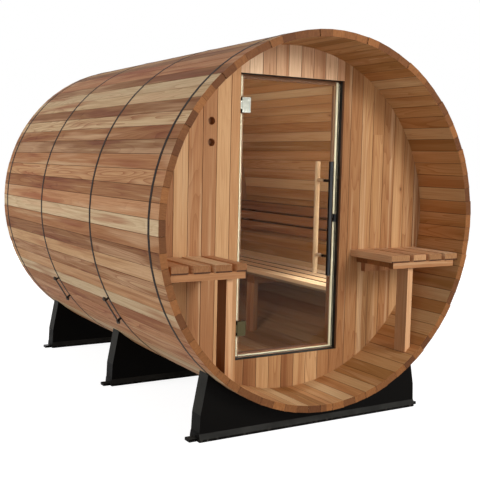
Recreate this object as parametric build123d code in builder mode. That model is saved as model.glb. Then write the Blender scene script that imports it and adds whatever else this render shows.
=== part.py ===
"""Barrel sauna: a staved cedar barrel on three saddle cradles, with an open porch, a glass door
hung in the front wall, two porch benches and one bench with a backrest inside.

Units are millimetres. The origin is at the middle of the footprint, on the ground. +Z is up, the
barrel lies along Y, the porch opens towards -Y, and +X is on the right of someone facing the door.
"""
import os
from math import cos, degrees, radians, sin, sqrt, tan

from build123d import *

os.makedirs("parts", exist_ok=True)

# ---- Barrel ----
barrel_radius = 914.4  # to the outer corners of the staves: a six-foot barrel
barrel_length = 2445.0
ground_clearance = 85.6  # under the lowest stave
stave_count = 80
stave_thickness = 34.0
stave_gap = 0.3  # between the flanks of neighbouring staves
bead_width = 16.0  # shallow rounded bead along one flank
bead_height = 2.5
bead_sides = 12  # the cutter's flats, round a full turn
cove_clearance = 0.4
stave_edge_ease = 1.5  # eased outer corners that make the V line between staves
end_trim_step = 1.4  # stave ends are sawn by hand and differ by a few of these steps

# ---- End walls ----
porch_depth = 355.0  # front rim to the outside of the front wall
rear_recess = 139.0  # rear rim to the outside of the rear wall
wall_thickness = 38.0
croze_depth = 7.0  # groove in the staves that holds each wall
croze_clearance = 0.3
wall_joint_gap = 0.3
board_pitch = 76.5
board_groove = 2.4  # side of the square cutter that leaves the V line between wall boards
door_side_board = 51.5  # narrow board between the doorway and the first V line beside it
side_joint_count = 7  # V lines on each side of the doorway
middle_joint_count = 8  # V lines over and under the doorway
rear_joint_count = 22
boards_before_splice = 2  # between the V line right of the doorway and the board in two lengths
splice_height = 450.0  # above the barrel axis
splice_gap = 0.8

# ---- Doorway and its frame ----
door_width = 631.0  # opening through the front wall
under_door_height = 174.5  # inside of the lowest stave to the bottom of the opening
over_door_height = 158.5  # top of the opening to the inside of the highest stave
frame_depth = 43.0
frame_rebate = 13.0  # set back behind the glass, for the seal
hinge_jamb_overlap = 42.0  # how far each frame bar stands into the opening
latch_jamb_overlap = 20.0
frame_backing = 20.0  # how far each bar reaches behind the wall boards
frame_joint_gap = 0.3
seal_thickness = 8.0
seal_width = 14.0
sill_seal_width = 8.0
seal_inset = 2.0  # seal from the inner edge of the frame bars

# ---- Glass door ----
glass_thickness = 8.0
hinge_side_gap = 13.0  # glass edge and hinge axis from the side of the opening
latch_side_gap = 6.0
glass_top_gap = 12.0
glass_bottom_gap = 5.0
door_open_angle = 90.0

# ---- Hinges ----
hinge_inset = 152.0  # middle of each hinge from the top and bottom of the opening
hinge_height = 75.0
hinge_knuckle_radius = 6.0
hinge_lug_height = 17.0
hinge_knuckle_gap = 0.5
hinge_pin_radius = 2.5
hinge_pin_clearance = 0.05
clamp_thickness = 4.0
clamp_width = 60.0  # from the hinge axis
clamp_setback = 12.0  # clamp plates from the hinge axis, beside the fixed lugs
leaf_thickness = 4.0
leaf_width = 34.0
glass_notch_margin = 5.0
clamp_notch_gap = 0.5

# ---- Door pulls ----
pull_inset = 85.5  # from the latch side of the opening
pull_length = 600.0
pull_post_spacing = 400.0
outer_pull_offset = 56.0  # bar axis from the middle of the glass
inner_pull_offset = 66.0
metal_bar_radius = 13.0
metal_post_radius = 8.0
wood_bar_radius = 14.0
wood_post_radius = 10.0
pull_stud_radius = 4.0
pull_stud_clearance = 0.5
catch_height = 40.0
catch_width = 13.0
catch_thickness = 4.0

# ---- Vents ----
vent_offset = 159.5  # left of the doorway
vent_height = 379.0  # lower vent above the barrel axis
vent_spacing = 103.0
vent_radius = 19.0
vent_slide_width = 90.0
vent_slide_margin = 55.0
vent_slide_thickness = 18.0

# ---- Board stock for the benches ----
slat_width = 84.0
slat_thickness = 35.0
rail_width = 33.0

# ---- Porch benches ----
porch_bench_drop = 170.0  # barrel axis down to the top of the slats
porch_slat_start = 22.0  # front rim to the slat ends
porch_slat_gap = 26.0
left_bench_clearance = 14.3  # outermost slat to the staves
right_bench_clearance = 7.3
left_inner_slat_width = 51.0
right_inner_slat_width = 122.0
porch_rail_setback = 8.0
rail_depth = 33.0
left_rail_inset = 1.0  # ends of the front rail from the edges of the bench
right_rail_inset = 18.0
left_side_rail_inset = 14.0  # inner edge of the bench to the side rail
right_side_rail_inset = 41.0
left_post_inset = 48.0  # inner edge of the bench to the post
right_post_inset = 149.0
seat_gap = 0.3

# ---- Inside bench and backrest ----
bench_drop = 390.0  # barrel axis down to the top of the slats
bench_slat_count = 4
bench_slat_gap = 20.0
bench_back_clearance = 34.0  # rearmost slat to the staves
bench_jamb_gap = 4.7  # front slat to the latch jamb
bench_end_gap = 0.8
bearer_height = 60.0
leg_setback = 26.0
leg_shift = 10.0  # towards the rear from the middle of the room
back_slat_count = 3
back_slat_height = 62.0
back_slat_gap = 9.0
back_slat_thickness = 22.0
back_setback = 89.5  # face of the backrest to the staves, at axis height
back_end_gap = 60.0
back_batten_width = 34.0

# ---- Steel bands ----
band_width = 20.0
band_thickness = 1.0
band_clearance = 0.2
front_band_inset = 102.0  # front rim to the middle of the band
rear_band_inset = 85.0
middle_band_shares = (0.336, 0.663)  # of the barrel's length
tightener_angle = 122.0  # from the top of the barrel to the middle of the tightener
tightener_span = 130.0
lug_height = 28.0
lug_thickness = 6.0

# ---- Cradles ----
front_cradle_inset = 98.0  # front rim to the front of the first cradle
rear_cradle_inset = 126.0  # rear rim to the back of the last cradle
cradle_thickness = 85.0
cradle_saddle_angle = 41.6  # saddle on each side of the lowest stave
cradle_splay = 43.0  # base beyond the saddle's tip, at each end
cradle_end_height = 125.0  # upright part of each end
cradle_end_draft = 6.0
cradle_saddle_clearance = 0.3
cradle_kick_height = 38.0  # sloping kick along the bottom of each face
cradle_kick_toe = 12.0
cradle_kick_depth = 7.0
cradle_foot_length = 40.0
cradle_foot_height = 14.0
cradle_foot_width = 46.0
band_rebate_clearance = 2.0

# ---- Worked out from the sizes above ----
stave_angle = 360.0 / stave_count
half_angle = radians(stave_angle / 2)
outer_flat = barrel_radius * cos(half_angle)
inner_flat = outer_flat - stave_thickness
axis_height = barrel_radius + ground_clearance
croze_flat = inner_flat + croze_depth
wall_flat = croze_flat - croze_clearance

front_y = -barrel_length / 2
rear_y = barrel_length / 2
wall_front_y = front_y + porch_depth
wall_back_y = wall_front_y + wall_thickness
rear_wall_back_y = rear_y - rear_recess
rear_wall_front_y = rear_wall_back_y - wall_thickness

door_left = -door_width / 2
door_right = door_width / 2
door_bottom = under_door_height - inner_flat
door_top = inner_flat - over_door_height
glass_back_y = wall_back_y
glass_front_y = glass_back_y - glass_thickness
glass_mid_y = glass_back_y - glass_thickness / 2
glass_left = door_left + hinge_side_gap
glass_right = door_right - latch_side_gap
glass_bottom = door_bottom + glass_bottom_gap
glass_top = door_top - glass_top_gap
rebate_y = wall_back_y + frame_rebate
frame_back_y = wall_back_y + frame_depth
hinge_x = glass_left
hinge_heights = (door_bottom + hinge_inset, door_top - hinge_inset)
knuckle_half = hinge_height / 2 - hinge_lug_height
pull_x = door_right - pull_inset
vent_x = door_left - vent_offset
vent_heights = (vent_height, vent_height + vent_spacing)
side_board_start = door_right + door_side_board


def facing(y):
    """Plane across the barrel at y, seen from the porch: local X is +X, local Y is +Z, axis at 0."""
    return Plane(origin=(0, y, axis_height), x_dir=(1, 0, 0), z_dir=(0, -1, 0))


def around(angle, y):
    """Plane across the barrel at y, turned so that its local Y points outwards at that angle from the top."""
    turn = radians(angle)
    return Plane(origin=(0, y, axis_height), x_dir=(cos(turn), 0, -sin(turn)), z_dir=(0, -1, 0))


def level(z):
    """Horizontal plane at z from the barrel axis."""
    return Plane.XY.offset(axis_height + z)


def stave_ring(flat, mode=Mode.ADD):
    """Polygon across the barrel with a side for each stave, at that distance from the axis."""
    RegularPolygon(flat, stave_count, major_radius=False, rotation=stave_angle / 2, mode=mode)


def save(piece, name):
    piece.part.label = name
    export_step(piece.part, f"parts/{name}.step")


def block(x_low, x_high, y_low, y_high, z_low, z_high, mode=Mode.ADD):
    """A squared piece of stock between the given limits, with z from the barrel axis."""
    with Locations(((x_low + x_high) / 2, (y_low + y_high) / 2, axis_height + (z_low + z_high) / 2)):
        Box(x_high - x_low, y_high - y_low, z_high - z_low, mode=mode)


# ==== Staves ====
# Each stave is a milled board with a bead on one flank and a cove on the other. The bead of one
# seats in the cove of the next, and a groove (the croze) across the inside holds each end wall.
sector_names = ("top", "upper_right", "right", "lower_right", "bottom", "lower_left", "left", "upper_left")
staves_per_sector = stave_count // len(sector_names)
first_stave_angle = -staves_per_sector / 2 * stave_angle
bead_radius = (bead_width ** 2 / 4 + bead_height ** 2) / (2 * bead_height)


def stave_profile():
    half_top = outer_flat * tan(half_angle) - stave_gap / 2
    half_bottom = inner_flat * tan(half_angle) - stave_gap / 2
    ease_shift = stave_edge_ease * sin(half_angle)
    Polygon(
        (-half_bottom, inner_flat),
        (half_bottom, inner_flat),
        (half_top - ease_shift, outer_flat - stave_edge_ease),
        (half_top - stave_edge_ease, outer_flat),
        (-half_top + stave_edge_ease, outer_flat),
        (-half_top + ease_shift, outer_flat - stave_edge_ease),
        align=None,
    )
    middle = outer_flat - stave_thickness / 2
    bead_centre = Vector(middle * tan(half_angle) + bead_height - bead_radius, middle)
    with Locations(bead_centre):
        RegularPolygon(bead_radius, bead_sides)
    with Locations(Location(bead_centre.rotate(Axis.Z, stave_angle), (0, 0, 1), stave_angle)):
        RegularPolygon(bead_radius + cove_clearance, bead_sides, mode=Mode.SUBTRACT)


for sector, sector_name in enumerate(sector_names):
    with BuildPart() as staves:
        for stave in range(staves_per_sector):
            index = sector * staves_per_sector + stave
            angle = first_stave_angle + index * stave_angle
            front_trim = end_trim_step * (index * 5 % 4)
            rear_trim = end_trim_step * (index * 3 % 4)
            with BuildSketch(around(angle, front_y + front_trim)):
                stave_profile()
            extrude(amount=-(barrel_length - front_trim - rear_trim))
        for groove_y in (wall_front_y, rear_wall_front_y):
            with BuildSketch(facing(groove_y - croze_clearance)):
                stave_ring(croze_flat)
            extrude(amount=-(wall_thickness + 2 * croze_clearance), mode=Mode.SUBTRACT)
    save(staves, f"staves_{sector_name}")


# ==== End walls ====
# Upright tongue-and-groove boards, cut to the flats of the croze and let into it. The front wall is
# made up beside, over and under the doorway; V lines show between the boards.
def wall_piece(y, x_low, x_high, z_low, z_high, grooves, groove_faces):
    with BuildSketch(facing(y)) as outline:
        stave_ring(wall_flat)
        with Locations(((x_low + x_high) / 2, (z_low + z_high) / 2)):
            Rectangle(x_high - x_low, z_high - z_low, mode=Mode.INTERSECT)
    extrude(outline.sketch, amount=-wall_thickness)
    with BuildSketch(level(-barrel_radius)) as lines:
        with Locations(*[(x, face_y) for x in grooves for face_y in groove_faces]):
            Rectangle(board_groove, board_groove, rotation=45)
    extrude(lines.sketch, amount=2 * barrel_radius, mode=Mode.SUBTRACT)


side_grooves = [side_board_start + board_pitch * n for n in range(side_joint_count)]
middle_grooves = [board_pitch * (n - (middle_joint_count - 1) / 2) for n in range(middle_joint_count)]

with BuildPart() as front_wall_left:
    wall_piece(wall_front_y, -barrel_radius, door_left, -barrel_radius, barrel_radius, [-x for x in side_grooves],
               (wall_front_y,))
    with BuildSketch(facing(wall_front_y)):
        with Locations(*[(vent_x, height) for height in vent_heights]):
            Circle(vent_radius)
    extrude(amount=-wall_thickness, mode=Mode.SUBTRACT)
save(front_wall_left, "front_wall_left")

with BuildPart() as front_wall_right:
    wall_piece(wall_front_y, door_right, barrel_radius, -barrel_radius, barrel_radius, side_grooves,
               (wall_front_y,))
    splice_start = side_board_start + board_pitch * boards_before_splice
    block(splice_start, splice_start + board_pitch, wall_front_y, wall_front_y + board_groove / 2, splice_height,
          splice_height + splice_gap, mode=Mode.SUBTRACT)
save(front_wall_right, "front_wall_right")

with BuildPart() as front_wall_over_door:
    wall_piece(wall_front_y, door_left + wall_joint_gap, door_right - wall_joint_gap, door_top, barrel_radius,
               middle_grooves, (wall_front_y,))
save(front_wall_over_door, "front_wall_over_door")

with BuildPart() as front_wall_under_door:
    wall_piece(wall_front_y, door_left + wall_joint_gap, door_right - wall_joint_gap, -barrel_radius, door_bottom,
               middle_grooves, (wall_front_y,))
save(front_wall_under_door, "front_wall_under_door")

rear_grooves = [board_pitch * (n - (rear_joint_count - 1) / 2) for n in range(rear_joint_count)]
with BuildPart() as rear_wall:
    wall_piece(rear_wall_front_y, -barrel_radius, barrel_radius, -barrel_radius, barrel_radius, rear_grooves,
               (rear_wall_front_y, rear_wall_back_y))
save(rear_wall, "rear_wall")

# A wooden slide closes the two vent holes from inside.
with BuildPart() as vent_slide:
    block(vent_x - vent_slide_width / 2, vent_x + vent_slide_width / 2, wall_back_y,
          wall_back_y + vent_slide_thickness, vent_heights[0] - vent_slide_margin,
          vent_heights[1] + vent_slide_margin)
save(vent_slide, "vent_slide")

# ==== Door frame ====
# Four bars screwed behind the wall boards. Each stands into the opening, and is set back there by a
# rebate that carries the seal and leaves room for the glass and the hinges.
frame_left = door_left - frame_backing
frame_right = door_right + frame_backing
jamb_inner_left = door_left + hinge_jamb_overlap
jamb_inner_right = door_right - latch_jamb_overlap
frame_bottom = door_bottom - frame_backing
frame_top = door_top + frame_backing
sill_inner = door_bottom + latch_jamb_overlap
head_inner = door_top - latch_jamb_overlap

with BuildPart() as hinge_jamb:
    block(frame_left, jamb_inner_left, wall_back_y, frame_back_y, frame_bottom, frame_top)
    block(door_left, jamb_inner_left, wall_back_y, rebate_y, door_bottom, door_top, mode=Mode.SUBTRACT)
save(hinge_jamb, "door_frame_hinge_jamb")

with BuildPart() as latch_jamb:
    block(jamb_inner_right, frame_right, wall_back_y, frame_back_y, frame_bottom, frame_top)
    block(jamb_inner_right, door_right, wall_back_y, rebate_y, door_bottom, door_top, mode=Mode.SUBTRACT)
save(latch_jamb, "door_frame_latch_jamb")

with BuildPart() as head:
    block(jamb_inner_left + frame_joint_gap, jamb_inner_right - frame_joint_gap, wall_back_y, frame_back_y,
          head_inner, frame_top)
    block(jamb_inner_left, jamb_inner_right, wall_back_y, rebate_y, head_inner, door_top, mode=Mode.SUBTRACT)
save(head, "door_frame_head")

with BuildPart() as sill:
    block(jamb_inner_left + frame_joint_gap, jamb_inner_right - frame_joint_gap, wall_back_y, frame_back_y,
          frame_bottom, sill_inner)
    block(jamb_inner_left, jamb_inner_right, wall_back_y, rebate_y, door_bottom, sill_inner, mode=Mode.SUBTRACT)
save(sill, "door_frame_sill")

# Pale seal strips in the rebate of the jambs and the sill, cut away round the hinges and the catch.
seal_front_y = rebate_y - seal_thickness
seal_left = jamb_inner_left - seal_inset - seal_width
seal_right = jamb_inner_right + seal_inset + seal_width
seal_bottom = sill_inner - seal_inset - seal_width
seal_top = head_inner + seal_inset + seal_width
hinge_room = hinge_height / 2 + glass_notch_margin

with BuildPart() as door_seal:
    left_spans = (
        (seal_bottom, hinge_heights[0] - hinge_room),
        (hinge_heights[0] + hinge_room, hinge_heights[1] - hinge_room),
        (hinge_heights[1] + hinge_room, seal_top),
    )
    for low, high in left_spans:
        block(seal_left, seal_left + seal_width, seal_front_y, rebate_y, low, high)
    catch_room = catch_height / 2 + seal_inset
    for low, high in ((seal_bottom, -catch_room), (catch_room, seal_top)):
        block(seal_right - seal_width, seal_right, seal_front_y, rebate_y, low, high)
    block(seal_left + seal_width, seal_right - seal_width, seal_front_y, rebate_y, seal_bottom,
          seal_bottom + sill_seal_width)
save(door_seal, "door_seal")

with BuildPart() as catch_magnet:
    block(seal_right - seal_width, seal_right, rebate_y - seal_thickness + catch_thickness, rebate_y,
          -catch_height / 2, catch_height / 2)
save(catch_magnet, "catch_magnet")

# ==== Hinges ====
# A fixed leaf screwed in the rebate carries two lugs and the pin. Between the lugs turns the middle
# knuckle of the clamp, whose two plates grip the glass.
with BuildPart() as hinge_leaves:
    for height in hinge_heights:
        block(hinge_x - hinge_knuckle_radius, hinge_x - hinge_knuckle_radius + leaf_width,
              rebate_y - leaf_thickness, rebate_y, height - hinge_height / 2, height + hinge_height / 2)
        for low in (height - hinge_height / 2, height + knuckle_half):
            block(hinge_x - hinge_knuckle_radius, hinge_x + hinge_knuckle_radius, glass_mid_y,
                  rebate_y - leaf_thickness, low, low + hinge_lug_height)
            with BuildSketch(level(low)):
                with Locations((hinge_x, glass_mid_y)):
                    Circle(hinge_knuckle_radius)
            extrude(amount=hinge_lug_height)
        with BuildSketch(level(height - knuckle_half)):
            with Locations((hinge_x, glass_mid_y)):
                Circle(hinge_pin_radius)
        extrude(amount=2 * knuckle_half)
save(hinge_leaves, "hinge_leaves")

with BuildPart() as hinge_clamps:
    for height in hinge_heights:
        for plate_y in (glass_front_y - clamp_thickness, glass_back_y):
            block(hinge_x + clamp_setback, hinge_x + clamp_width, plate_y, plate_y + clamp_thickness,
                  height - hinge_height / 2, height + hinge_height / 2)
        barrel_half = knuckle_half - hinge_knuckle_gap
        block(hinge_x, hinge_x + clamp_setback, glass_mid_y - hinge_knuckle_radius,
              glass_mid_y + hinge_knuckle_radius, height - barrel_half, height + barrel_half)
        with BuildSketch(level(height - barrel_half)):
            with Locations((hinge_x, glass_mid_y)):
                Circle(hinge_knuckle_radius)
        extrude(amount=2 * barrel_half)
        with BuildSketch(level(height - barrel_half)):
            with Locations((hinge_x, glass_mid_y)):
                Circle(hinge_pin_radius + hinge_pin_clearance)
        extrude(amount=2 * barrel_half, mode=Mode.SUBTRACT)
save(hinge_clamps, "hinge_clamps")

# ==== Glass door ====
with BuildPart() as door_glass:
    block(glass_left, glass_right, glass_front_y, glass_back_y, glass_bottom, glass_top)
    for height in hinge_heights:
        block(glass_left, glass_left + clamp_setback + clamp_notch_gap, glass_front_y, glass_back_y,
              height - hinge_room, height + hinge_room, mode=Mode.SUBTRACT)
    with BuildSketch(facing(glass_front_y)):
        with Locations(*[(pull_x, z) for z in (-pull_post_spacing / 2, pull_post_spacing / 2)]):
            Circle(pull_stud_radius + pull_stud_clearance)
    extrude(amount=-glass_thickness, mode=Mode.SUBTRACT)
save(door_glass, "door_glass")

# The steel pull stands outside. Its two studs pass through the glass to the posts of the wooden pull.
outer_bar_y = glass_mid_y - outer_pull_offset
inner_bar_y = glass_mid_y + inner_pull_offset

with BuildPart() as metal_pull:
    with BuildSketch(level(-pull_length / 2)):
        with Locations((pull_x, outer_bar_y)):
            Circle(metal_bar_radius)
    extrude(amount=pull_length)
    with BuildSketch(facing(outer_bar_y)):
        with Locations(*[(pull_x, z) for z in (-pull_post_spacing / 2, pull_post_spacing / 2)]):
            Circle(metal_post_radius)
    extrude(amount=-(glass_front_y - outer_bar_y))
    with BuildSketch(facing(outer_bar_y)):
        with Locations(*[(pull_x, z) for z in (-pull_post_spacing / 2, pull_post_spacing / 2)]):
            Circle(pull_stud_radius)
    extrude(amount=-(glass_back_y - outer_bar_y))
save(metal_pull, "outer_pull")

with BuildPart() as wood_pull:
    with BuildSketch(level(-pull_length / 2)):
        with Locations((pull_x, inner_bar_y)):
            Circle(wood_bar_radius)
    extrude(amount=pull_length)
    with BuildSketch(facing(glass_back_y)):
        with Locations(*[(pull_x, z) for z in (-pull_post_spacing / 2, pull_post_spacing / 2)]):
            Circle(wood_post_radius)
    extrude(amount=-(inner_bar_y - glass_back_y))
save(wood_pull, "inner_pull")

with BuildPart() as catch_plate:
    block(glass_right - catch_width, glass_right, glass_front_y - catch_thickness / 2, glass_front_y,
          -catch_height / 2, catch_height / 2)
save(catch_plate, "catch_plate")


# ==== Porch benches ====
# Four slats run from front to back over a front rail, a ledger on the wall and a side rail, and one
# post stands behind the front rail, scribed to the curve of the barrel.
def half_width_at(drop):
    """From the middle of the barrel to the inside of the staves, at that drop below the axis."""
    return sqrt(inner_flat ** 2 - drop ** 2)


def scribe(y_low, y_high):
    """Cuts away what would enter the staves."""
    with BuildSketch(facing(y_low)) as hollow:
        Circle(inner_flat - seat_gap)
    extrude(hollow.sketch, amount=-(y_high - y_low), mode=Mode.INTERSECT)


porch_slat_low = -porch_bench_drop - slat_thickness
porch_rail_low = porch_slat_low - rail_depth
porch_ledger_low = porch_slat_low - slat_width
porch_slat_y = front_y + porch_slat_start
porch_rail_y = porch_slat_y + porch_rail_setback
porch_back_y = wall_front_y - seat_gap
porch_ledger_y = porch_back_y - rail_width
post_y = porch_rail_y + rail_width + seat_gap


def porch_bench(side, clearance, inner_slat_width, rail_inset, side_rail_inset, post_inset, name):
    """Bench on one side of the porch, -1 left or 1 right; x is counted outwards from the middle."""
    outer = half_width_at(porch_bench_drop + slat_thickness) - clearance
    inner = outer - 3 * (slat_width + porch_slat_gap) - inner_slat_width

    def stock(near, far, y_low, y_high, z_low, z_high):
        block(min(side * near, side * far), max(side * near, side * far), y_low, y_high, z_low, z_high)

    with BuildPart() as slats:
        for n in range(3):
            far = outer - n * (slat_width + porch_slat_gap)
            stock(far - slat_width, far, porch_slat_y, porch_back_y, porch_slat_low, -porch_bench_drop)
        stock(inner, inner + inner_slat_width, porch_slat_y, porch_back_y, porch_slat_low, -porch_bench_drop)
    save(slats, f"{name}_slats")

    with BuildPart() as bench_frame:
        stock(inner + rail_inset, outer - rail_inset, porch_rail_y, porch_rail_y + rail_width, porch_rail_low,
              porch_slat_low)
        stock(inner + side_rail_inset + rail_width + seat_gap, outer - rail_inset, porch_ledger_y, porch_back_y,
              porch_ledger_low, porch_slat_low)
        stock(inner + side_rail_inset, inner + side_rail_inset + rail_width, porch_rail_y + rail_width + seat_gap,
              porch_back_y, porch_rail_low, porch_slat_low - seat_gap)
        stock(inner + post_inset, inner + post_inset + rail_width, post_y, post_y + slat_width, -barrel_radius,
              porch_slat_low)
        scribe(porch_rail_y, porch_back_y)
    save(bench_frame, f"{name}_frame")


porch_bench(-1, left_bench_clearance, left_inner_slat_width, left_rail_inset, left_side_rail_inset,
            left_post_inset, "porch_bench_left")
porch_bench(1, right_bench_clearance, right_inner_slat_width, right_rail_inset, right_side_rail_inset,
            right_post_inset, "porch_bench_right")

# ==== Inside bench and backrest ====
# Slats along the right wall lie on a ledger at each end wall and on a middle bearer, which stands on
# a leg. Three more slats make the backrest, on battens scribed to the barrel.
bench_slat_low = -bench_drop - slat_thickness
bench_far = half_width_at(bench_drop + slat_thickness) - bench_back_clearance
bench_front = frame_right + bench_jamb_gap
seat_slat_width = (bench_far - bench_front - (bench_slat_count - 1) * bench_slat_gap) / bench_slat_count
room_middle_y = (wall_back_y + rear_wall_front_y) / 2

with BuildPart() as bench_slats:
    for n in range(bench_slat_count):
        near = bench_front + n * (seat_slat_width + bench_slat_gap)
        block(near, near + seat_slat_width, wall_back_y + bench_end_gap, rear_wall_front_y - bench_end_gap,
              bench_slat_low, -bench_drop)
save(bench_slats, "inside_bench_slats")

bearer_near = bench_front + leg_setback
bearer_low = bench_slat_low - bearer_height
leg_y = room_middle_y - slat_width / 2 + leg_shift
with BuildPart() as bench_frame:
    for y in (wall_back_y, rear_wall_front_y - rail_width, leg_y):
        block(bearer_near, inner_flat, y, y + rail_width, bearer_low, bench_slat_low)
    block(bearer_near, bearer_near + rail_width, leg_y + rail_width, leg_y + slat_width, -barrel_radius,
          bench_slat_low)
    block(bearer_near, bearer_near + rail_width, leg_y, leg_y + rail_width, -barrel_radius, bearer_low)
    scribe(wall_back_y, rear_wall_front_y)
save(bench_frame, "inside_bench_frame")

back_face = inner_flat - back_setback
back_pitch = back_slat_height + back_slat_gap
with BuildPart() as backrest_slats:
    for n in range(back_slat_count):
        block(back_face, back_face + back_slat_thickness, wall_back_y + back_end_gap,
              rear_wall_front_y - back_end_gap, -n * back_pitch - back_slat_height, -n * back_pitch)
save(backrest_slats, "backrest_slats")

with BuildPart() as backrest_battens:
    batten_reach = (rear_wall_front_y - wall_back_y) / 2 - back_end_gap - 2 * back_batten_width
    for y in (room_middle_y - batten_reach, room_middle_y, room_middle_y + batten_reach):
        block(back_face + back_slat_thickness, inner_flat, y - back_batten_width / 2, y + back_batten_width / 2,
              back_slat_gap - back_slat_count * back_pitch, 0)
    scribe(wall_back_y, rear_wall_front_y)
save(backrest_battens, "backrest_battens")

# ==== Steel bands ====
# Each band follows the flats of the staves. Its ends lap under a pair of lugs, which a threaded rod
# draws together.
band_flat = outer_flat + band_clearance
band_outer_flat = band_flat + band_thickness
lug_half_angle = degrees(tightener_span / 2 / barrel_radius)
band_positions = (
    (front_y + front_band_inset, 1),
    (front_y + middle_band_shares[0] * barrel_length, -1),
    (front_y + middle_band_shares[1] * barrel_length, -1),
    (rear_y - rear_band_inset, 1),
)

for number, (band_y, side) in enumerate(band_positions, start=1):
    low_y = band_y - band_width / 2
    middle = side * tightener_angle
    with BuildPart() as band:
        with BuildSketch(facing(low_y)):
            stave_ring(band_outer_flat)
            stave_ring(band_flat, mode=Mode.SUBTRACT)
        extrude(amount=-band_width)
        for end in (-1, 1):
            with BuildSketch(around(middle + end * lug_half_angle, low_y)):
                with Locations((0, band_flat + band_thickness / 2 + lug_height / 2)):
                    Rectangle(lug_thickness, lug_height)
            extrude(amount=-band_width)
    save(band, f"steel_band_{number}")

# ==== Cradles ====
# One moulded plastic saddle, used three times: upright ends that lean in towards the barrel, a kick
# along the bottom of each face, a flat foot at each end and a rebate for a band at the front edge.
saddle_radius = barrel_radius + cradle_saddle_clearance
cradle_top_x = saddle_radius * sin(radians(cradle_saddle_angle))
cradle_top_z = -saddle_radius * cos(radians(cradle_saddle_angle))
cradle_half_width = cradle_top_x + cradle_splay
rebate_width = front_band_inset + band_width / 2 + band_rebate_clearance - front_cradle_inset
first_cradle_y = front_y + front_cradle_inset
last_cradle_y = rear_y - rear_cradle_inset - cradle_thickness

for number, cradle_y in enumerate((first_cradle_y, (first_cradle_y + last_cradle_y) / 2, last_cradle_y), start=1):
    cradle_back_y = cradle_y + cradle_thickness
    cradle_middle_y = cradle_y + cradle_thickness / 2
    with BuildPart() as cradle:
        with BuildSketch(facing(cradle_y)):
            with BuildLine():
                Polyline(
                    (-cradle_half_width, -axis_height),
                    (cradle_half_width, -axis_height),
                    (cradle_half_width - cradle_end_draft, cradle_end_height - axis_height),
                    (cradle_top_x, cradle_top_z),
                    (-cradle_top_x, cradle_top_z),
                    (-cradle_half_width + cradle_end_draft, cradle_end_height - axis_height),
                    close=True,
                )
            make_face()
            Circle(saddle_radius, mode=Mode.SUBTRACT)
        extrude(amount=-cradle_thickness)
        with BuildSketch(Plane.YZ.offset(-cradle_half_width)):
            with BuildLine():
                Polyline(
                    (cradle_y - cradle_kick_depth, 0),
                    (cradle_back_y + cradle_kick_depth, 0),
                    (cradle_back_y + cradle_kick_depth, cradle_kick_toe),
                    (cradle_back_y, cradle_kick_height),
                    (cradle_y, cradle_kick_height),
                    (cradle_y - cradle_kick_depth, cradle_kick_toe),
                    close=True,
                )
            make_face()
        extrude(amount=2 * cradle_half_width)
        with BuildSketch():
            with Locations((0, cradle_middle_y)):
                Rectangle(2 * (cradle_half_width + cradle_foot_length), cradle_foot_width)
        extrude(amount=cradle_foot_height)
        with BuildSketch(facing(cradle_y)):
            stave_ring(band_outer_flat + band_rebate_clearance)
        extrude(amount=-rebate_width, mode=Mode.SUBTRACT)
    save(cradle, f"cradle_{number}")
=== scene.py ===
"""Looks of the barrel sauna: a finish for every part of the frame, the rods and nuts that draw the
bands tight, and the studio it stands in. Everything is in metres.
"""
from math import cos, pi, radians, sin

import bpy
from mathutils import Matrix, Vector


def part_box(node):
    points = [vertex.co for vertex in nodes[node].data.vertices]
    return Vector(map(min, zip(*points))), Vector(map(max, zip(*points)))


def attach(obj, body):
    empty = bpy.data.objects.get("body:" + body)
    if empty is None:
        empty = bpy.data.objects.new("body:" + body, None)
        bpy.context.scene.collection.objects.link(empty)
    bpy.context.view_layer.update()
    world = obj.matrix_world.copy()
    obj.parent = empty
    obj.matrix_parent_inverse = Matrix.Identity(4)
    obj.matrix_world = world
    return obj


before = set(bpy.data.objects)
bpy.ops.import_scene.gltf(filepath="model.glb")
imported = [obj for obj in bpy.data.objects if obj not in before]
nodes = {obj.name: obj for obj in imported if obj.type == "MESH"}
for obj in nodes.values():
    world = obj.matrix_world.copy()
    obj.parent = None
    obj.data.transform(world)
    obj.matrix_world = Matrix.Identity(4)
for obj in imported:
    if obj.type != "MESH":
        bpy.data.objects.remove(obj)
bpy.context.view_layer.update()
bpy.ops.object.select_all(action="DESELECT")


# ==== Cradles ====
# Three moulded saddles of black polypropylene that carry the barrel. The skin has the fine leather
# grain of the mould, and the bottom edge is scuffed a little where it stands on the ground.
def node(tree, kind, inputs=(), **settings):
    """Adds a shader node; each input is a value or another node's output."""
    made = tree.nodes.new("ShaderNode" + kind)
    for name, value in settings.items():
        setattr(made, name, value)
    for name, value in dict(inputs).items():
        if isinstance(value, bpy.types.NodeSocket):
            tree.links.new(value, made.inputs[name])
        else:
            made.inputs[name].default_value = value
    return made


def finish(name, **constants):
    """New material with its node tree and its shader, whose sockets take the constants."""
    material = bpy.data.materials.new(name)
    material.use_nodes = True
    shader = material.node_tree.nodes["Principled BSDF"]
    for socket, value in constants.items():
        shader.inputs[socket.replace("_", " ")].default_value = value
    return material, material.node_tree, shader


def maths(tree, operation, first, second=0.0, third=0.0):
    return node(tree, "Math", {0: first, 1: second, 2: third}, operation=operation).outputs[0]


def axes(tree):
    """The piece's own x, y and z."""
    return node(tree, "SeparateXYZ", {0: node(tree, "TexCoord").outputs["Object"]}).outputs


def facing(tree, axis):
    """How far a face looks along the axis, from -1 to 1."""
    return node(tree, "SeparateXYZ", {0: node(tree, "TexCoord").outputs["Normal"]}).outputs[axis]


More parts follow.
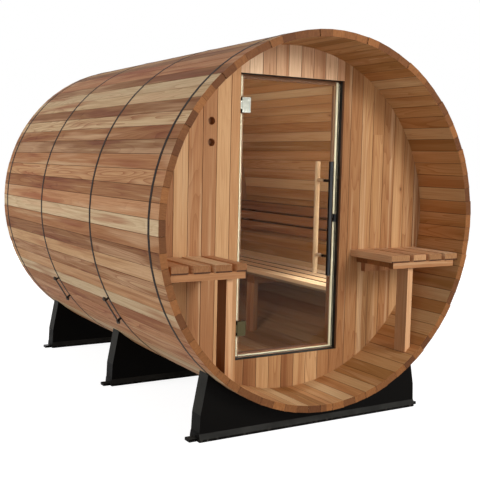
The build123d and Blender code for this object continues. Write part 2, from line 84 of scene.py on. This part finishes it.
def between(tree, value, low, high, low_to=0.0, high_to=1.0):
    """Eases from low_to to high_to as the value goes from low to high."""
    return node(tree, "MapRange", {"Value": value, 1: low, 2: high, 3: low_to, 4: high_to},
                interpolation_type="SMOOTHSTEP").outputs[0]


def stretched(tree, place, scale):
    return node(tree, "VectorMath", {0: place, 1: scale}, operation="MULTIPLY").outputs[0]


def noise(tree, scale, detail=2.0, roughness=0.5, place=None):
    """Smooth noise with that many waves to the metre along each axis."""
    if place is None:
        place = node(tree, "TexCoord").outputs["Object"]
    return node(tree, "TexNoise", {"Vector": stretched(tree, place, scale), "Scale": 1.0,
                                   "Detail": detail, "Roughness": roughness}).outputs["Fac"]


def mixed(tree, amount, first, second, way="MIX"):
    """Colour mixed from first to second."""
    return node(tree, "Mix", {0: amount, 6: first, 7: second}, data_type="RGBA",
                blend_type=way).outputs[2]


def tone(red, green, blue):
    """Paint colour, 0 to 255 as on a display, as light."""
    return tuple((c / 255 / 12.92) if c < 11 else ((c / 255 + 0.055) / 1.055) ** 2.4
                 for c in (red, green, blue)) + (1.0,)


def surface(tree, shader, colour, roughness, height, depth, strength=1.0):
    """Gives the shader its colour, its roughness and a relief of that depth."""
    bump = node(tree, "Bump", {"Height": height, "Distance": depth, "Strength": strength})
    tree.links.new(colour, shader.inputs["Base Color"])
    tree.links.new(roughness, shader.inputs["Roughness"])
    tree.links.new(bump.outputs["Normal"], shader.inputs["Normal"])


def dress(material, *names):
    """Gives CAD nodes their finish."""
    for name in names:
        nodes[name].data.materials.clear()
        nodes[name].data.materials.append(material)


scuffed_height = 0.03
plastic, tree, shader = finish("moulded_plastic", Specular_IOR_Level=0.03)
mould_grain = noise(tree, (900, 900, 900))
flow = noise(tree, (6, 6, 9), 3.0)
foot = between(tree, axes(tree)[2], 0.0, scuffed_height, 1.0, 0.0)
scuff = maths(tree, "MULTIPLY", foot, between(tree, noise(tree, (60, 60, 20), 4.0), 0.5, 0.7))
black = mixed(tree, flow, tone(7, 6, 5), tone(13, 11, 9))
# Dust lies on the sloping kick along the foot of each face; its pale tone there is also a painted
# highlight
kick = between(tree, facing(tree, 2), 0.05, 0.12)
dust_and_highlight = maths(tree, "MULTIPLY", kick, between(tree, flow, 0.3, 0.7, 0.4, 0.9))
dusty_and_highlit = mixed(tree, dust_and_highlight, black, tone(56, 55, 52))
surface(tree, shader, mixed(tree, scuff, dusty_and_highlit, tone(58, 55, 51)),
        between(tree, flow, 0.3, 0.7, 0.42, 0.56),
        maths(tree, "ADD", mould_grain, maths(tree, "MULTIPLY", scuff, 0.6)), 0.0004, 0.6)
dress(plastic, "cradle_1", "cradle_2", "cradle_3")

# ==== Staves ====
# Eighty staves of western red cedar, planed and left bare. Each is cut from its own board, so its
# tone runs from cream sapwood to brown heartwood; the grain runs the length of the barrel.
barrel_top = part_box("staves_top")[1][2]
barrel_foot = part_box("staves_bottom")[0][2]
axis_z = (barrel_top + barrel_foot) / 2
barrel_radius = (barrel_top - barrel_foot) / 2
stave_count = 80
rim_tones = (tone(110, 67, 35), tone(172, 115, 66))
stave_tones = (
    (0.00, tone(142, 98, 62)),
    (0.20, tone(163, 114, 73)),
    (0.40, tone(184, 129, 86)),
    (0.55, tone(200, 143, 102)),
    (0.70, tone(206, 158, 112)),
    (0.86, tone(216, 179, 134)),
    (1.00, tone(228, 202, 162)),
)


def ramp(tree, value, stops):
    """Colour at the value, from stops of place and colour."""
    made = node(tree, "ValToRGB", {0: value})
    elements = made.color_ramp.elements
    while len(elements) < len(stops):
        elements.new(0.5)
    for element, (position, colour) in zip(elements, stops):
        element.position = position
        element.color = colour
    return made.outputs[0]


def cedar(tree, shader, grain_place, board, tones, knots=1.0, figure=1.0, joint=0.0, end=None,
          sawn_tones=rim_tones, patches=0.0):
    """Planed cedar. grain_place runs along the grain in x, and across the board in y and z; board
    is the number of the board, joint is 1 in the V line between two boards, and end is 1 where the
    wood is sawn across. knots, figure and patches say how strong each is."""
    shader.inputs["Specular IOR Level"].default_value = 0.2
    chance = node(tree, "TexWhiteNoise", {"W": board}, noise_dimensions="1D")
    kind = node(tree, "SeparateColor", {0: chance.outputs["Color"]}).outputs
    shift = stretched(tree, chance.outputs["Color"], (31.0, 17.0, 23.0))
    wood = node(tree, "VectorMath", {0: grain_place, 1: shift}, operation="ADD").outputs[0]
    colour = ramp(tree, chance.outputs["Value"], tones)
    # Long streaks of paler sapwood and darker heart
    streak = noise(tree, (0.6, 22, 22), 3.0, 0.55, wood)
    pale = between(tree, streak, 0.56, 0.74, 0.0, 0.6)
    deep = between(tree, streak, 0.47, 0.28, 0.0, 0.8)
    colour = mixed(tree, pale, colour, tone(222, 188, 146))
    colour = mixed(tree, deep, colour, tone(208, 182, 162), "MULTIPLY")
    # Broad patches where the saw ran from the heart out towards the sapwood
    if patches:
        patch = noise(tree, (0.9, 11, 11), 2.0, 0.6, wood)
        pale = between(tree, patch, 0.52, 0.66, 0.0, 0.5 * patches)
        deep = between(tree, patch, 0.47, 0.34, 0.0, 0.8 * patches)
        colour = mixed(tree, pale, colour, tone(226, 186, 146))
        colour = mixed(tree, deep, colour, tone(208, 170, 156), "MULTIPLY")
    # Growth rings cut lengthways: plain on some boards, bold arches on others
    rings = maths(tree, "MULTIPLY", noise(tree, (0.8, 12, 12), 1.0, place=wood), 15.0)
    late = maths(tree, "POWER", maths(tree, "FRACT", rings), 3.0)
    bold = between(tree, kind[1], 0.45, 0.8, 0.18 * figure, 0.75 * figure)
    arches = maths(tree, "MULTIPLY", late, bold)
    colour = mixed(tree, arches, colour, tone(188, 140, 112), "MULTIPLY")
    fibre = noise(tree, (4, 300, 300), 3.0, 0.6, wood)
    fibres = between(tree, fibre, 0.35, 0.75, 0.0, 0.55)
    colour = mixed(tree, fibres, colour, tone(206, 184, 168), "MULTIPLY")
    # Knots with a dark heart, and the grain darker round them
    place = stretched(tree, wood, (8.0, 13.0, 13.0))
    cells = node(tree, "TexVoronoi", {"Vector": place, "Scale": 1.0})
    reach = cells.outputs["Distance"]
    lot = node(tree, "SeparateColor", {0: cells.outputs["Color"]}).outputs[0]
    chosen = between(tree, lot, 0.945, 0.95)
    heart = maths(tree, "MULTIPLY", between(tree, reach, 0.11, 0.07), chosen)
    halo = maths(tree, "MULTIPLY", between(tree, reach, 0.32, 0.08), chosen)
    halo = maths(tree, "MULTIPLY", halo, 0.5 * knots)
    heart = maths(tree, "MULTIPLY", heart, 0.8 * knots)
    colour = mixed(tree, halo, colour, tone(190, 140, 108), "MULTIPLY")
    colour = mixed(tree, heart, colour, tone(70, 38, 24))
    if end is not None:
        sawn = mixed(tree, kind[2], *sawn_tones)
        pores = noise(tree, (0.1, 160, 60), place=wood)
        sawn = mixed(tree, pores, sawn, tone(178, 158, 140), "MULTIPLY")
        colour = mixed(tree, end, colour, sawn)
    colour = mixed(tree, maths(tree, "MULTIPLY", joint, 0.42), colour, tone(56, 31, 18))
    relief = maths(tree, "ADD", maths(tree, "MULTIPLY", late, 0.35),
                   maths(tree, "MULTIPLY", fibre, 0.65))
    relief = maths(tree, "SUBTRACT", relief, maths(tree, "MULTIPLY", joint, 2.0))
    surface(tree, shader, colour, between(tree, fibre, 0.3, 0.7, 0.60, 0.76), relief, 0.0005)
    return colour


def end_grain(tree, axis):
    """1 on faces sawn square to the axis."""
    return between(tree, maths(tree, "ABSOLUTE", facing(tree, axis)), 0.75, 0.85)


stave_wood, tree, shader = finish("stave_cedar")
x, y, z = axes(tree)
up = maths(tree, "SUBTRACT", z, axis_z)
turn = maths(tree, "ARCTAN2", x, up)
staves_round = maths(tree, "MULTIPLY", turn, stave_count / (2 * pi))
stave = maths(tree, "ROUND", staves_round)
off_middle = maths(tree, "ABSOLUTE", maths(tree, "SUBTRACT", staves_round, stave))
joint = between(tree, off_middle, 0.477, 0.492)
from_axis = node(tree, "CombineXYZ", {0: x, 1: up}).outputs[0]
out = node(tree, "VectorMath", {0: from_axis}, operation="LENGTH").outputs["Value"]
round_barrel = maths(tree, "MULTIPLY", turn, barrel_radius)
grain_place = node(tree, "CombineXYZ", {0: y, 1: round_barrel, 2: out}).outputs[0]
stave_end = end_grain(tree, 1)
# The outer face of a stave and its inner face take their tones from different runs of boards
outer_run = 3022805.0
inner_run = 1695506.0
outer = between(tree, out, barrel_radius - 0.022, barrel_radius - 0.012)
outer = maths(tree, "MAXIMUM", outer, stave_end)
run = maths(tree, "MULTIPLY", maths(tree, "ROUND", outer), outer_run - inner_run)
run = maths(tree, "ADD", run, inner_run)
outer_tone = cedar(tree, shader, grain_place, maths(tree, "ADD", stave, run), stave_tones,
                   joint=joint, end=stave_end, patches=1.0)
inner_tone = mixed(tree, 0.45, outer_tone, tone(186, 133, 70))
inner_joint = maths(tree, "MULTIPLY", joint, 0.75)
inner_tone = mixed(tree, inner_joint, inner_tone, tone(46, 24, 12))
# Under the bench of the room the staves are painted darker: a painted shade under the bench
bench_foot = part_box("inside_bench_slats")[0][2]
wall_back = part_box("front_wall_left")[1][1]
in_room = between(tree, y, wall_back - 0.01, wall_back + 0.01)
below_bench = between(tree, z, bench_foot + 0.02, bench_foot - 0.04, 0.0, 0.55)
painted_shade = maths(tree, "MULTIPLY", below_bench, between(tree, x, 0.0, 0.35))
painted_shade = maths(tree, "MULTIPLY", in_room, painted_shade)
inner_tone = mixed(tree, painted_shade, inner_tone, tone(66, 31, 6))
tree.links.new(mixed(tree, outer, inner_tone, outer_tone), shader.inputs["Base Color"])
dress(stave_wood, *[name for name in nodes if name.startswith("staves")])

# ==== End walls ====
# Upright tongue-and-groove boards of the same cedar, let into the grooves in the staves. The front
# wall is made up round the doorway, with short boards over and under it.
board_pitch = 0.0765
side_line = 0.367
middle_line = 0.5 * board_pitch
wall_tones = (
    (0.0, tone(158, 110, 71)),
    (0.3, tone(180, 130, 87)),
    (0.6, tone(198, 150, 103)),
    (1.0, tone(222, 183, 135)),
)
# A darker copy of the wall tones, painted shade on the right wall and the boards under the door
shaded_tones = (
    (0.0, tone(146, 99, 61)),
    (0.3, tone(166, 118, 75)),
    (0.6, tone(182, 135, 88)),
    (1.0, tone(208, 166, 118)),
)
# A paler copy, painted light on the boards over the door and on the vent slide in the vent holes
painted_light_tones = ((0.0, tone(198, 152, 114)), (0.5, tone(222, 181, 142)), (1.0, tone(244, 215, 178)))
# Brown painted shade for the doorway's edges, and a black for the rubber and for painted shade
reveal_shade_brown = tone(112, 70, 42)
black_rubber_and_shade = tone(26, 20, 15)
door_half_width = -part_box("front_wall_left")[1][0]
door_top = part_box("front_wall_over_door")[0][2]
door_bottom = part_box("front_wall_under_door")[1][2]
glass_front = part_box("door_glass")[0][1]


def boards(name, first_line, seed, splice=None, doorway=True, tones=wall_tones):
    """Upright boards with a V line at first_line and at every pitch from it. The seed picks which
    are pale and which dark, and splice is the number of a board that is made up of two lengths, and
    the height of the joint."""
    material, tree, shader = finish(name)
    x, y, z = axes(tree)
    count = maths(tree, "DIVIDE", maths(tree, "SUBTRACT", x, first_line), board_pitch)
    board = maths(tree, "FLOOR", count)
    off_middle = maths(tree, "SUBTRACT", maths(tree, "FRACT", count), 0.5)
    joint = between(tree, maths(tree, "ABSOLUTE", off_middle), 0.475, 0.49)
    grain_place = node(tree, "CombineXYZ", {0: z, 1: x, 2: y}).outputs[0]
    if splice:
        number, height = splice
        upper = maths(tree, "MULTIPLY", maths(tree, "COMPARE", board, number, 0.1),
                      maths(tree, "GREATER_THAN", z, height))
        board = maths(tree, "ADD", board, maths(tree, "MULTIPLY", upper, 0.5))
    colour = cedar(tree, shader, grain_place, maths(tree, "ADD", board, seed), tones, knots=0.6,
                   figure=0.6, joint=joint)
    if doorway:
        # The sawn edges round the doorway are painted shade: brown, and black over and under the
        # door.
        # They are black too where the rubber lip lies
        shaded_to, bare_from = 0.0006, 0.0012
        off_centre = maths(tree, "ABSOLUTE", x)
        width = between(tree, off_centre, door_half_width + bare_from, door_half_width + shaded_to)
        above_foot = between(tree, z, door_bottom - bare_from, door_bottom - shaded_to)
        below_head = between(tree, z, door_top + bare_from, door_top + shaded_to)
        level = maths(tree, "MULTIPLY", above_foot, below_head)
        edge = maths(tree, "MULTIPLY", width, level)
        lip = between(tree, y, glass_front - 0.016, glass_front - 0.014)
        flat = maths(tree, "LESS_THAN", off_centre, door_half_width - 0.001)
        shaded_reveal = mixed(tree, maths(tree, "MAXIMUM", lip, flat), reveal_shade_brown, black_rubber_and_shade)
        tree.links.new(mixed(tree, edge, colour, shaded_reveal), shader.inputs["Base Color"])
    return material


splice_height = axis_z + 0.45
dress(boards("left_wall_cedar", -side_line, seed=14062.0), "front_wall_left")
dress(boards("right_wall_cedar", side_line, seed=17193.0, splice=(2.0, splice_height),
             tones=shaded_tones), "front_wall_right")
dress(boards("over_door_cedar", middle_line, seed=10753.0, tones=painted_light_tones),
      "front_wall_over_door")
dress(boards("under_door_cedar", middle_line, seed=3296.0, tones=shaded_tones),
      "front_wall_under_door")
dress(boards("rear_wall_cedar", middle_line, seed=149.0, doorway=False), "rear_wall")
dress(boards("vent_slide_cedar", first_line=-0.6, seed=131.0, doorway=False, tones=painted_light_tones),
      "vent_slide")

# ==== Steel bands ====
# Four dark steel straps round the barrel. A threaded rod runs through the two lugs of each, and a
# nut outside each lug draws the strap tight.
strap, tree, shader = finish("band_steel", Metallic=0.3, Specular_IOR_Level=0.1)
roll = noise(tree, (25, 1400, 25))
stain = noise(tree, (9, 30, 9), 4.0)
surface(tree, shader, mixed(tree, stain, tone(20, 10, 5), tone(36, 21, 12)),
        between(tree, roll, 0.3, 0.7, 0.5, 0.66), roll, 0.00008)
dress(strap, *[f"steel_band_{number}" for number in (1, 2, 3, 4)])

rod_steel, tree, shader = finish("rod_steel", Metallic=1.0)
oil = noise(tree, (80, 80, 80), 3.0)
surface(tree, shader, mixed(tree, oil, tone(52, 46, 42), tone(92, 86, 80)),
        between(tree, oil, 0.3, 0.7, 0.32, 0.5), noise(tree, (900, 900, 900)), 0.0001)

rod_radius = 0.004
rod_height = 0.021
rod_end = 0.005
nut_radius = 0.010
nut_length = 0.013
nut_edge = 0.0012
lug_centre = 0.065
lug_half_plate = 0.003
lug_outside = lug_centre + lug_half_plate
rod_half = lug_outside + nut_length + rod_end
tightener_angle = radians(122)

bpy.ops.mesh.primitive_cylinder_add(vertices=16, radius=rod_radius, depth=2 * rod_half)
rod = bpy.context.active_object
bpy.ops.mesh.primitive_cylinder_add(vertices=6, radius=nut_radius, depth=nut_length)
nut = bpy.context.active_object
bpy.ops.object.mode_set(mode="EDIT")
bpy.ops.mesh.bevel(offset=nut_edge, segments=2)
bpy.ops.object.mode_set(mode="OBJECT")


def laid(pattern, name, place, turn):
    """Lays a copy of the rod or the nut in its place on the barrel."""
    piece = pattern.copy()
    piece.data = pattern.data.copy()
    bpy.context.scene.collection.objects.link(piece)
    piece.name = name
    piece.data.name = name
    piece.location = place
    piece.rotation_euler = turn
    bpy.ops.object.select_all(action="DESELECT")
    piece.select_set(True)
    bpy.context.view_layer.objects.active = piece
    bpy.ops.object.transform_apply(location=True, rotation=True, scale=True)
    piece.data.materials.clear()
    piece.data.materials.append(rod_steel)
    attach(piece, "cabin")


for number, side in ((1, 1), (2, -1), (3, -1), (4, 1)):
    low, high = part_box(f"steel_band_{number}")
    angle = side * tightener_angle
    outwards = Vector((sin(angle), 0, cos(angle)))
    along = Vector((cos(angle), 0, -sin(angle)))
    middle = Vector((0, (low[1] + high[1]) / 2, axis_z)) + outwards * (barrel_radius + rod_height)
    turn = along.to_track_quat("Z", "Y").to_euler()
    laid(rod, f"tightener_rod_{number}", middle, turn)
    for end, level in ((-1, "high"), (1, "low")):
        seat = middle + along * end * (lug_outside + nut_length / 2)
        laid(nut, f"tightener_nut_{number}_{level}", seat, turn)
for pattern in (rod, nut):
    shape = pattern.data
    bpy.data.objects.remove(pattern)
    bpy.data.meshes.remove(shape)


# ==== Door frame, seal and catch ====
# Four bars of darker cedar screwed behind the wall boards, with a pale rubber strip in the rebate
# that the glass shuts against, and a small magnet let into it.
def timber(name, axis, pitch, seed, tones=wall_tones, knots=0.5, start=0.0, step_axis=0,
           posts_below=None, sawn_tones=rim_tones):
    """Planed timber whose grain runs along one axis. From start a new board comes at each pitch
    along step_axis. Below the height posts_below the grain stands upright."""
    material, tree, shader = finish(name)
    parts = axes(tree)
    others = [parts[n] for n in (0, 1, 2) if n != axis]
    steps = maths(tree, "DIVIDE", maths(tree, "SUBTRACT", parts[step_axis], start), pitch)
    board = maths(tree, "MAXIMUM", maths(tree, "FLOOR", steps), 0.0)
    grain_place = node(tree, "CombineXYZ", {0: parts[axis], 1: others[0], 2: others[1]}).outputs[0]
    end = end_grain(tree, axis)
    if posts_below:
        post = maths(tree, "LESS_THAN", parts[2], posts_below)
        upright = node(tree, "CombineXYZ", {0: parts[2], 1: parts[0], 2: parts[1]}).outputs[0]
        grain_place = node(tree, "Mix", {0: post, 4: grain_place, 5: upright},
                           data_type="VECTOR").outputs[1]
        end = maths(tree, "MULTIPLY", end, maths(tree, "SUBTRACT", 1.0, post))
    cedar(tree, shader, grain_place, maths(tree, "ADD", board, seed), tones, knots=knots,
          figure=0.7, end=end, sawn_tones=sawn_tones)
    return material


def darkened(material, cover, colour):
    """Darkens the finish to the colour where cover is 1."""
    tree = material.node_tree
    shader = tree.nodes["Principled BSDF"]
    bare = shader.inputs["Base Color"].links[0].from_socket
    tree.links.new(mixed(tree, cover, bare, colour), shader.inputs["Base Color"])
    return material


frame_tones = ((0.0, tone(104, 64, 40)), (1.0, tone(150, 98, 62)))
jamb_wood = timber("jamb_cedar", axis=2, pitch=0.3, seed=11.0, tones=frame_tones)
dress(jamb_wood, "door_frame_hinge_jamb", "door_frame_latch_jamb")
sill_wood = timber("rail_cedar", axis=0, pitch=0.3, seed=17.0, tones=frame_tones, step_axis=2)
dress(sill_wood, "door_frame_sill")
# The face of the head that the glass shuts against is painted black: a painted shade in the gap
head_wood = timber("head_cedar", axis=0, pitch=0.3, seed=17.0, tones=frame_tones)
tree = head_wood.node_tree
painted_shade_strip = between(tree, axes(tree)[1], glass_front + 0.0215, glass_front + 0.0205)
dress(darkened(head_wood, painted_shade_strip, black_rubber_and_shade), "door_frame_head")

rubber, tree, shader = finish("seal_rubber")
x, y, z = axes(tree)
seal_low, seal_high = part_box("door_seal")
lip_dust = noise(tree, (40, 40, 12), 3.0)
lip = mixed(tree, lip_dust, tone(190, 172, 142), tone(204, 188, 160))
# The pale lip grows out of a base, black at the latch and the sill, and brown painted shade on the
# hinge side
from_hinge = maths(tree, "SUBTRACT", x, seal_low[0])
from_latch = maths(tree, "SUBTRACT", seal_high[0], x)
from_sill = maths(tree, "SUBTRACT", z, seal_low[2])
hinge_side_shade = maths(tree, "MULTIPLY", between(tree, from_hinge, 0.0060, 0.0070),
                   between(tree, from_hinge, 0.016, 0.015))
black_base = maths(tree, "MAXIMUM", between(tree, from_latch, 0.0045, 0.0035),
                   between(tree, from_sill, 0.0040, 0.0030))
seal_tone = mixed(tree, hinge_side_shade, lip, tone(112, 78, 50))
surface(tree, shader, mixed(tree, black_base, seal_tone, black_rubber_and_shade),
        between(tree, lip_dust, 0.3, 0.7, 0.55, 0.7), noise(tree, (700, 700, 700)), 0.0002)
dress(rubber, "door_seal")

catch_steel, tree, shader = finish("catch_coating", Metallic=0.6)
speck = noise(tree, (1200, 1200, 1200))
surface(tree, shader, mixed(tree, speck, tone(24, 24, 25), tone(40, 40, 41)),
        between(tree, speck, 0.3, 0.7, 0.38, 0.5), speck, 0.0001)
dress(catch_steel, "catch_magnet", "catch_plate")

# ==== Glass door, hinges and pulls ====
# A sheet of clear toughened glass hung on two polished clamp hinges. A dark steel bar stands
# outside and a turned wooden one inside, on the same studs.
glass, tree, shader = finish("door_glass", Base_Color=(0.93, 0.96, 0.94, 1.0), Roughness=0.0,
                             IOR=1.15, Transmission_Weight=1.0)
clear = node(tree, "BsdfTransparent", {0: (0.93, 0.95, 0.93, 1.0)})
shadow = node(tree, "LightPath").outputs["Is Shadow Ray"]
either = node(tree, "MixShader", {0: shadow, 1: shader.outputs[0], 2: clear.outputs[0]})
tree.links.new(either.outputs[0], tree.nodes["Material Output"].inputs["Surface"])
dress(glass, "door_glass")

# The steel low down is painted darker, a painted dark reflection on the lower hinge
polish, tree, shader = finish("polished_steel", Metallic=1.0)
wipe = noise(tree, (30, 30, 90), 3.0)
bright = mixed(tree, wipe, tone(172, 172, 158), tone(196, 196, 184))
painted_dark_reflection = between(tree, axes(tree)[2], 0.9, 0.7)
surface(tree, shader, mixed(tree, painted_dark_reflection, bright, tone(76, 69, 48)),
        between(tree, wipe, 0.3, 0.7, 0.10, 0.18), noise(tree, (900, 900, 60)), 0.00005)
dress(polish, "hinge_leaves", "hinge_clamps")

bar_steel, tree, shader = finish("black_bar_steel", Specular_IOR_Level=0.3)
handled = noise(tree, (60, 60, 25), 3.0)
surface(tree, shader, mixed(tree, handled, tone(14, 13, 13), tone(26, 24, 23)),
        between(tree, handled, 0.3, 0.7, 0.07, 0.14), noise(tree, (400, 400, 40)), 0.00004)
dress(bar_steel, "outer_pull")

pull_tones = ((0.0, tone(190, 150, 112)), (1.0, tone(206, 168, 130)))
dress(timber("turned_pull_wood", axis=2, pitch=3.0, seed=5.0, tones=pull_tones, knots=0.0),
      "inner_pull")

# ==== Porch benches ====
# Cedar slats with eased edges, fixed from below to two rails and a ledger on the wall. One post
# stands under each bench.
slat_tones = (
    (0.0, tone(188, 134, 92)),
    (0.35, tone(208, 156, 112)),
    (0.7, tone(222, 180, 136)),
    (1.0, tone(236, 204, 162)),
)
slat_ends = (tone(156, 108, 68), tone(196, 146, 102))
pale_slat_tones = (
    (0.0, tone(204, 152, 108)),
    (0.5, tone(226, 178, 134)),
    (1.0, tone(244, 214, 174)),
)
pale_slat_ends = (tone(168, 122, 80), tone(208, 160, 114))
slat_pitch = 0.11
for side, seed, start, planed, sawn in (
        ("left", 41.0, -0.8542, slat_tones, slat_ends),
        ("right", 47.0, 0.4212, pale_slat_tones, pale_slat_ends)):
    slats = timber(f"{side}_bench_slat_cedar", axis=1, pitch=slat_pitch, seed=seed, tones=planed,
                   start=start, sawn_tones=sawn)
    # Painted shadow: the foot of each sawn end is painted dark just above the rail it lies on
    tree = slats.node_tree
    rail_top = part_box(f"porch_bench_{side}_slats")[0][2]
    painted_shade = maths(tree, "MULTIPLY", end_grain(tree, 1),
                 between(tree, axes(tree)[2], rail_top + 0.007, rail_top + 0.005))
    dress(darkened(slats, painted_shade, tone(66, 36, 18)), f"porch_bench_{side}_slats")

rail_tones = ((0.0, tone(168, 118, 76)), (0.5, tone(186, 134, 92)), (1.0, tone(226, 178, 132)))
post_top = 0.762
frames = timber("bench_rail_cedar", axis=0, pitch=0.1, seed=1837.0, tones=rail_tones,
                start=-1.2592, step_axis=1, posts_below=post_top)
# The sides of the posts are painted darker, the left one the most: painted shade
tree = frames.node_tree
x, y, z = axes(tree)
post_side = maths(tree, "MULTIPLY", end_grain(tree, 0), maths(tree, "LESS_THAN", z, post_top))
painted_side_shade = maths(tree, "MULTIPLY", post_side, between(tree, x, -0.1, 0.1, 0.82, 0.3))
dress(darkened(frames, painted_side_shade, tone(94, 45, 10)), "porch_bench_left_frame",
      "porch_bench_right_frame")

# ==== Inside bench and backrest ====
# Slats the length of the room on ledgers and a bearer with a leg, and three narrow slats on battens
# for the back.
# Paler than the cedar alone: partly painted light, standing in for sunlight on the bench
seat_tones_with_painted_light = ((0.0, tone(222, 184, 138)), (1.0, tone(244, 218, 180)))
seat_pitch = 0.104
seat = timber("seat_slat_cedar", axis=1, pitch=seat_pitch, seed=59.0, tones=seat_tones_with_painted_light,
              start=0.3302)
# The sides between the slats and the foot of the front edge are painted darker: painted shade
tree = seat.node_tree
x, y, z = axes(tree)
seat_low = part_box("inside_bench_slats")[0]
inner = between(tree, x, seat_low[0] + 0.02, seat_low[0] + 0.03)
edge_foot = between(tree, z, seat_low[2] + 0.018, seat_low[2] + 0.010, 0.0, 0.8)
painted_shade_sides = maths(tree, "MULTIPLY", end_grain(tree, 0), maths(tree, "MAXIMUM", inner, edge_foot))
dress(darkened(seat, painted_shade_sides, tone(70, 40, 20)), "inside_bench_slats")
leg_top = 0.515
seat_frame = timber("seat_bearer_cedar", axis=0, pitch=0.2, seed=61.0, step_axis=1,
                    posts_below=leg_top)
dress(seat_frame, "inside_bench_frame")

back_tones = ((0.0, tone(140, 90, 50)), (1.0, tone(184, 128, 78)))
back_pitch = 0.071
back_gap = 0.009
back = timber("back_slat_cedar", axis=1, pitch=back_pitch, seed=67.0, tones=back_tones,
              start=0.79, step_axis=2)
# The top and bottom edges of these slats, and a little of the face beside them, are painted dark:
# painted shade in the gaps
tree = back.node_tree
gap_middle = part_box("backrest_slats")[0][2] - back_gap / 2
steps = maths(tree, "DIVIDE", maths(tree, "SUBTRACT", axes(tree)[2], gap_middle), back_pitch)
up_slat = maths(tree, "FRACT", steps)
beside = maths(tree, "MAXIMUM", between(tree, up_slat, 0.11, 0.08),
               between(tree, up_slat, 0.88, 0.91))
painted_gap_shade = maths(tree, "MAXIMUM", beside, end_grain(tree, 2))
dress(darkened(back, painted_gap_shade, tone(50, 24, 10)), "backrest_slats")
dress(timber("batten_cedar", axis=2, pitch=0.3, seed=73.0, tones=back_tones, step_axis=1),
      "backrest_battens")


# ==== Studio ====
# A plain pale floor and even white light from large soft lamps, with two small ones in the room for
# the daylight that comes in there. The floor and the air behind show plain white.
def seen(tree):
    """1 where the camera sees a thing itself, in a reflection or through glass."""
    path = node(tree, "LightPath").outputs
    mirrored = maths(tree, "MAXIMUM", path["Is Glossy Ray"], path["Is Transmission Ray"])
    return maths(tree, "MAXIMUM", path["Is Camera Ray"], mirrored)


pure_white = (1.0, 1.0, 1.0, 1.0)
floor_paint, tree, shader = finish("floor_paint", Base_Color=(0.3, 0.3, 0.3, 1.0), Roughness=0.9)
glow = node(tree, "Emission", {0: pure_white, 1: maths(tree, "MULTIPLY", seen(tree), 0.9)})
both = node(tree, "AddShader", {0: shader.outputs[0], 1: glow.outputs[0]})
tree.links.new(both.outputs[0], tree.nodes["Material Output"].inputs["Surface"])
bpy.ops.mesh.primitive_plane_add(size=60, location=(0, 0, 0))
floor = bpy.context.active_object
floor.name = "studio_floor"
floor.data.materials.append(floor_paint)

world = bpy.data.worlds.new("studio")
bpy.context.scene.world = world
world.use_nodes = True
tree = world.node_tree
soft = tree.nodes["Background"]
soft.inputs["Color"].default_value = pure_white
soft.inputs["Strength"].default_value = 0.12
backdrop = node(tree, "Background", {0: pure_white, 1: 1.0})
either = node(tree, "MixShader", {0: seen(tree), 1: soft.outputs[0], 2: backdrop.outputs[0]})
tree.links.new(either.outputs[0], tree.nodes["World Output"].inputs["Surface"])


def lamp(name, place, target, size, power):
    light = bpy.data.lights.new(name, "AREA")
    light.shape = "SQUARE"
    light.size = size
    light.energy = power
    piece = bpy.data.objects.new(name, light)
    bpy.context.scene.collection.objects.link(piece)
    piece.location = place
    piece.rotation_euler = (Vector(target) - Vector(place)).to_track_quat("-Z", "Y").to_euler()
    return piece


lamp("key_lamp", (1.5, -6.1, 3.1), (0.0, -0.8, 1.0), 1.8, 206)
lamp("front_lamp", (0.9, -6.2, 1.2), (0.0, -0.8, 1.3), 2.4, 66)
lamp("left_lamp", (-4.6, -4.8, 1.5), (0.0, -0.8, 1.1), 2.4, 60)
lamp("side_lamp", (-6.4, 1.4, 2.6), (-0.6, 0.4, 1.0), 3.0, 185)
lamp("right_lamp", (6.2, 3.2, 2.2), (0.6, 0.4, 0.9), 3.0, 120)
lamp("back_lamp", (1.6, 8.2, 1.5), (0.0, 1.6, 1.0), 2.6, 190)
for hidden in (lamp("room_lamp", (-0.5, -0.1, 1.4), (0.6, 0.2, 1.5), 0.5, 5),
               lamp("seat_lamp", (0.42, -0.5, 0.98), (0.47, -0.72, 0.55), 0.2, 2.8)):
    hidden.visible_camera = False
    hidden.visible_transmission = False

# ==== Camera ====
# Stands at eye height off the front left corner and looks slightly down. It leans a little to one
# side, as a camera held by hand does.
yaw, pitch, roll = 0.5354, -0.0953, 0.0224
eye = Vector((-2.4072, -4.4160, 1.2963))
ahead = Vector((sin(yaw) * cos(pitch), cos(yaw) * cos(pitch), sin(pitch)))
level = Vector((cos(yaw), -sin(yaw), 0.0))
upright = level.cross(ahead)
right = level * cos(roll) + upright * sin(roll)
upward = upright * cos(roll) - level * sin(roll)
camera = bpy.data.cameras.new("camera")
camera.lens = 62.55
camera.sensor_width = 36.0
camera_piece = bpy.data.objects.new("camera", camera)
bpy.context.scene.collection.objects.link(camera_piece)
camera_piece.matrix_world = Matrix((
    (right.x, upward.x, -ahead.x, eye.x),
    (right.y, upward.y, -ahead.y, eye.y),
    (right.z, upward.z, -ahead.z, eye.z),
    (0.0, 0.0, 0.0, 1.0),
))
bpy.context.scene.camera = camera_piece
bpy.context.scene.view_settings.view_transform = "Standard"
